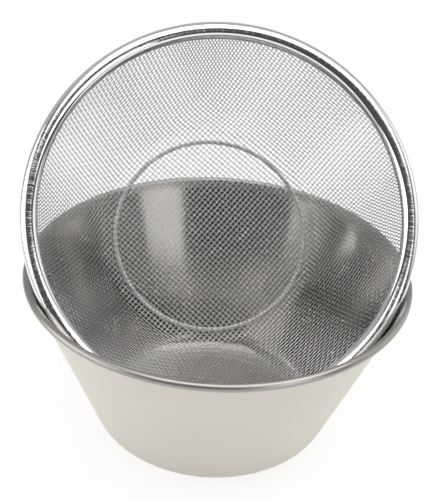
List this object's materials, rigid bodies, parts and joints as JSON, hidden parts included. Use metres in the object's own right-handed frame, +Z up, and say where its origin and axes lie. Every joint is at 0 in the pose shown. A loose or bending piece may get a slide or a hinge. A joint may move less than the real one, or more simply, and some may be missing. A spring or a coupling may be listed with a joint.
{
  "type": "kitchen strainer set",
  "caption": "Round wire-cloth strainer basket with a rolled steel rim and a foot ring, stood on edge in a flared steel bowl that is coated cream outside; the basket lifts out.",
  "frame": {"origin": "middle of the bowl's flat foot, on the table", "axes": "+Z up along the bowl's axis, -Y towards the viewer that the basket's mouth faces, +X to that viewer's right"},
  "size_m": [0.2104, 0.21, 0.215],
  "materials": {
    "bowl_steel": "satin steel, bare inside and on the lip",
    "cream_coat": "smooth satin coat",
    "polished_steel": "polished",
    "wire_steel": "bright drawn wire"
  },
  "bodies": {
    "bowl": {"bowl_shell": "bowl_steel", "bowl_coat": "cream_coat"},
    "basket": {"rim_roll": "polished_steel", "rim_core_wire": "wire_steel", "clamp_band": "wire_steel", "warp_wires": "wire_steel", "weft_wires": "wire_steel", "foot_ring": "wire_steel"}
  },
  "joints": [
    {"name": "basket_lift", "type": "slide", "parent": "bowl", "child": "basket", "axis": [0, 0, 1], "range_m": [0, 0.15]}
  ]
}
